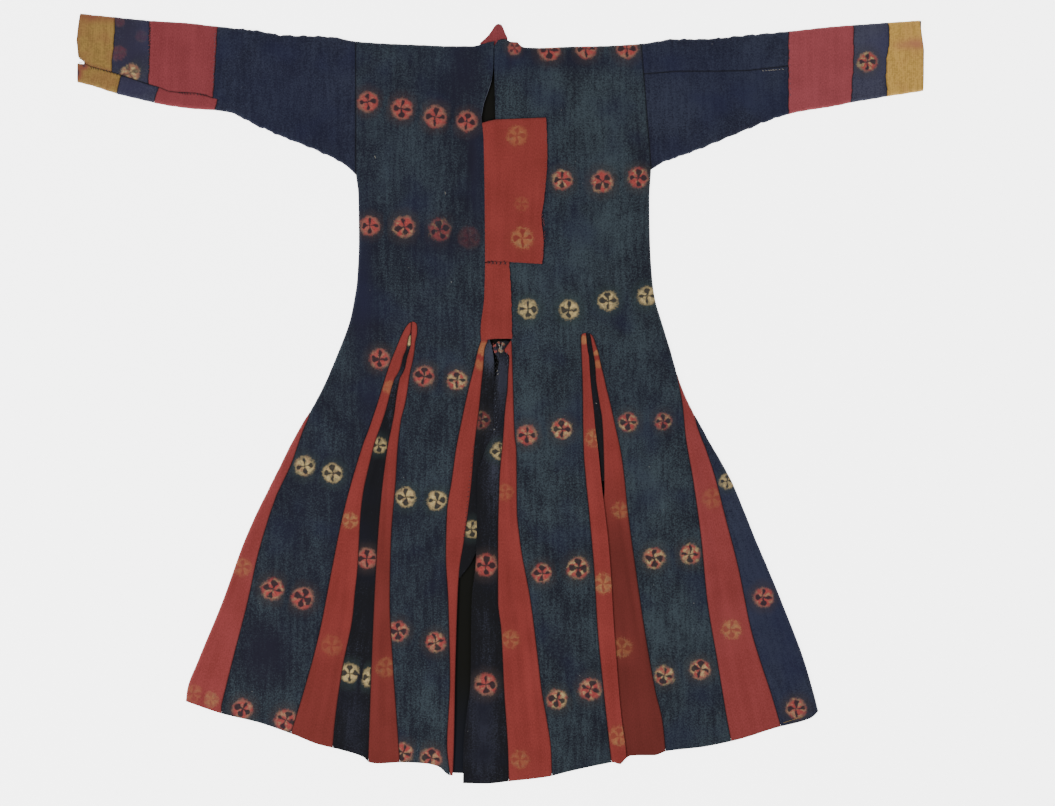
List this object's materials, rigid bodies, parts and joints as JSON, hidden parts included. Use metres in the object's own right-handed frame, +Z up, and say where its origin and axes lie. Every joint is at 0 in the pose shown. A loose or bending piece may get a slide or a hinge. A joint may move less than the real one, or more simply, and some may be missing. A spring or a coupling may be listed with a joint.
{
  "type": "robe",
  "caption": "Open-fronted woollen robe with tapered sleeves, pieced cuffs, a breast flap and gores let into a flared skirt, laid flat with the sleeves spread.",
  "frame": {"origin": "centre of the underside of the robe as it lies flat, on the surface it lies on", "axes": "+X from the robe's left side to its right as the front is seen from above, along the sleeves, +Y from the hem towards the shoulders, +Z up out of the front"},
  "size_m": [1.4392, 1.3086, 0.0085],
  "materials": {
    "indigo_wool": "matt handwoven wool, blue-black, with tie-dyed spots",
    "madder_wool": "matt handwoven wool, brick red",
    "yellow_wool": "matt handwoven wool, ochre yellow"
  },
  "bodies": {
    "root": {"back_gore_left_dark": "indigo_wool", "back_gore_left_red_1": "madder_wool", "back_gore_left_red_2": "madder_wool", "back_gore_right_dark": "indigo_wool", "back_gore_right_red_1": "madder_wool", "back_gore_right_red_2": "madder_wool", "back_left": "indigo_wool", "back_right": "indigo_wool", "back_side_left_dark": "indigo_wool", "back_side_left_red": "madder_wool", "back_side_right_dark": "indigo_wool", "back_side_right_red": "madder_wool", "breast_flap": "madder_wool", "front_left": "indigo_wool", "front_right": "indigo_wool", "front_strip": "madder_wool", "gore_centre_dark_1": "indigo_wool", "gore_centre_dark_2": "indigo_wool", "gore_centre_red_1": "madder_wool", "gore_centre_red_2": "madder_wool", "gore_left_dark": "indigo_wool", "gore_left_red_1": "madder_wool", "gore_left_red_2": "madder_wool", "gore_right_dark": "indigo_wool", "gore_right_red_1": "madder_wool", "gore_right_red_2": "madder_wool", "neck_band_left": "madder_wool", "neck_band_right": "madder_wool", "side_left_red": "madder_wool", "side_right_dark": "indigo_wool", "side_right_red": "madder_wool", "sleeve_left_back_band_dark": "indigo_wool", "sleeve_left_back_band_red": "madder_wool", "sleeve_left_back_cuff_yellow": "yellow_wool", "sleeve_left_back_dark": "indigo_wool", "sleeve_left_band_dark": "indigo_wool", "sleeve_left_band_red": "madder_wool", "sleeve_left_cuff_yellow": "yellow_wool", "sleeve_left_dark": "indigo_wool", "sleeve_left_strip_dark": "indigo_wool", "sleeve_left_strip_red": "madder_wool", "sleeve_left_strip_yellow": "yellow_wool", "sleeve_right_back_band_dark": "indigo_wool", "sleeve_right_back_band_red": "madder_wool", "sleeve_right_back_cuff_yellow": "yellow_wool", "sleeve_right_back_dark": "indigo_wool", "sleeve_right_band_dark": "indigo_wool", "sleeve_right_band_red": "madder_wool", "sleeve_right_cuff_yellow": "yellow_wool", "sleeve_right_dark_lower": "indigo_wool", "sleeve_right_dark_upper": "indigo_wool"}
  },
  "joints": []
}
